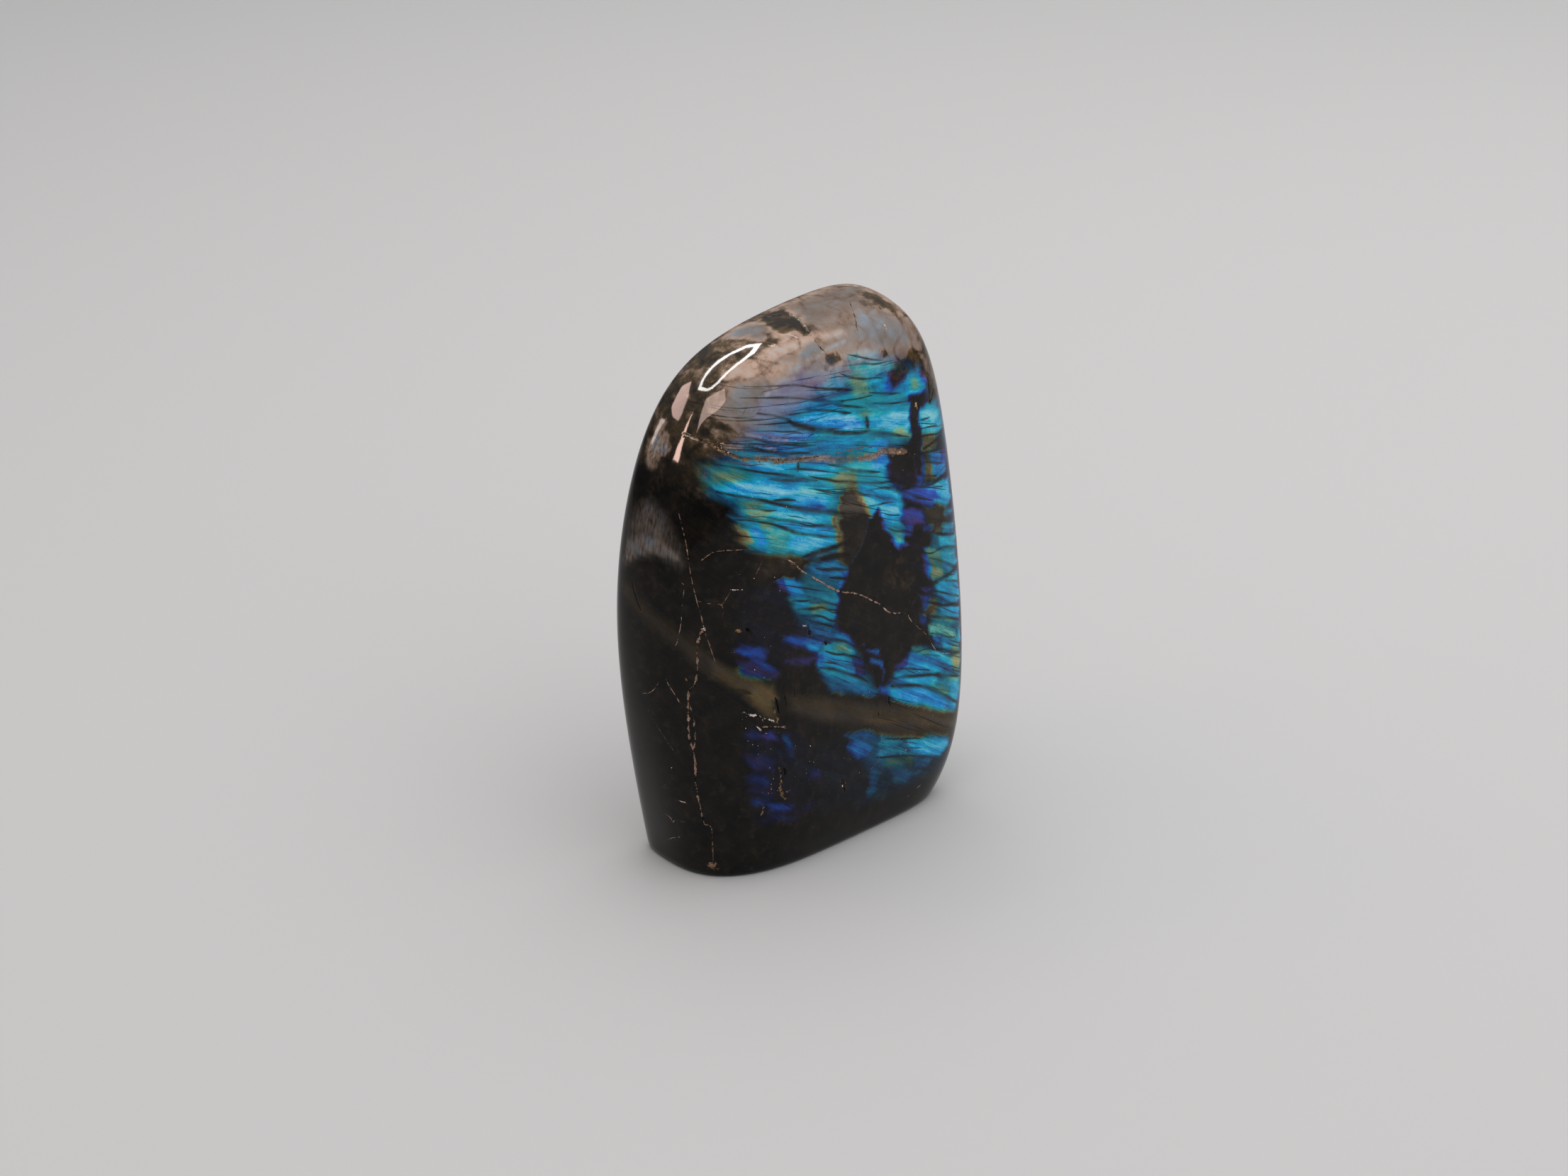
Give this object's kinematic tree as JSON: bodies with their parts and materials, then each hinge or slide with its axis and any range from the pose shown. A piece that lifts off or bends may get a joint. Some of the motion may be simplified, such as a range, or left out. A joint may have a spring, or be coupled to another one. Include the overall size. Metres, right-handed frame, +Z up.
{
  "type": "polished labradorite stone",
  "caption": "Freestanding hand-polished stone with a sawn flat base, an upright wide face and a rounded, sloping crown.",
  "frame": {"origin": "middle of the stone's bounding box, on the plane of the sawn base", "axes": "+Z up from the sawn base, X along the wide face, -Y out of the wide flashing face"},
  "size_m": [0.0876, 0.0387, 0.12],
  "materials": {
    "labradorite": "glassy hand polish over dark olive-brown feldspar with azure, teal, gold and violet flashes"
  },
  "bodies": {
    "root": {"labradorite_stone": "labradorite"}
  },
  "joints": []
}
